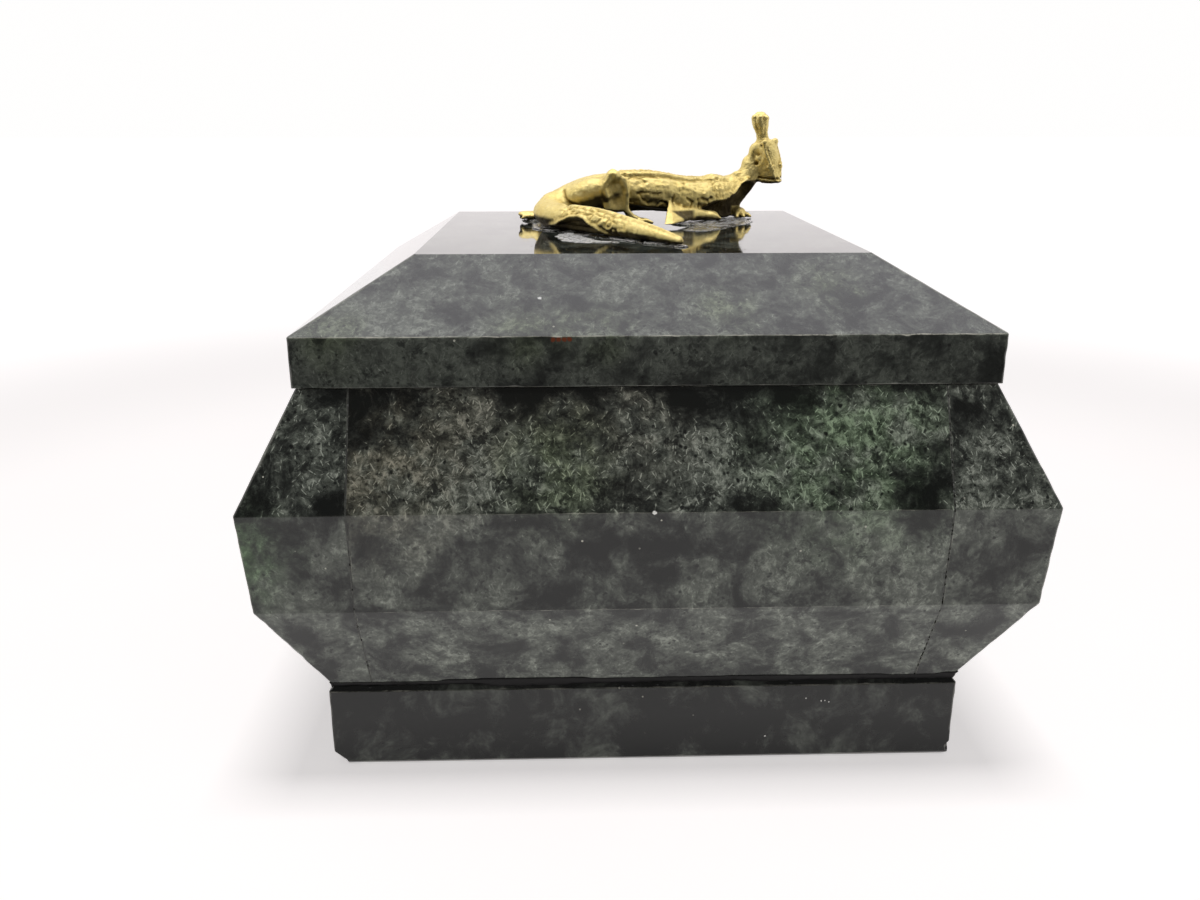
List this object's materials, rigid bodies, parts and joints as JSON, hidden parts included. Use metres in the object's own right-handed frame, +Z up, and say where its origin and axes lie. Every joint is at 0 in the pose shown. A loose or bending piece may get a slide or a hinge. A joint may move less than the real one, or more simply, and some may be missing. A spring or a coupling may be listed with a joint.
{
  "type": "stone trinket box",
  "caption": "Square polished stone box with bulging banded walls, a plinth, and a hinged lid topped by a cast brass lizard, for keeping small trinkets.",
  "frame": {"origin": "middle of the plinth's underside", "axes": "+Z up, front towards -Y, +X to the right as seen from the front"},
  "size_m": [0.12, 0.12, 0.1027],
  "materials": {
    "stone": "polished dark green serpentine with paler clouds",
    "mastic": "black mastic, slightly glossy",
    "corner_glue": "set glue, matt",
    "clear_glue": "clear glossy glue",
    "figure_brass": "cast brass, bright on the high places and brown in the hollows",
    "hinge_brass": "rolled brass, satin"
  },
  "bodies": {
    "base": {"plinth": "stone", "plinth_mastic": "mastic", "front_wall": "stone", "back_wall": "stone", "left_wall": "stone", "right_wall": "stone", "corner_glue": "corner_glue", "left_hinge_body_leaf": "hinge_brass", "right_hinge_body_leaf": "hinge_brass", "left_hinge_pin": "hinge_brass", "right_hinge_pin": "hinge_brass", "body_leaf_screws": "hinge_brass"},
    "lid": {"lid_slab": "stone", "lizard_figure": "figure_brass", "figure_glue": "clear_glue", "left_hinge_lid_leaf": "hinge_brass", "right_hinge_lid_leaf": "hinge_brass", "lid_leaf_screws": "hinge_brass"}
  },
  "joints": [
    {"name": "lid_hinge", "type": "hinge", "parent": "base", "child": "lid", "pos_m": [0, 0.054, 0.06438], "axis": [-1, 0, 0], "range_deg": [0, 100]}
  ]
}
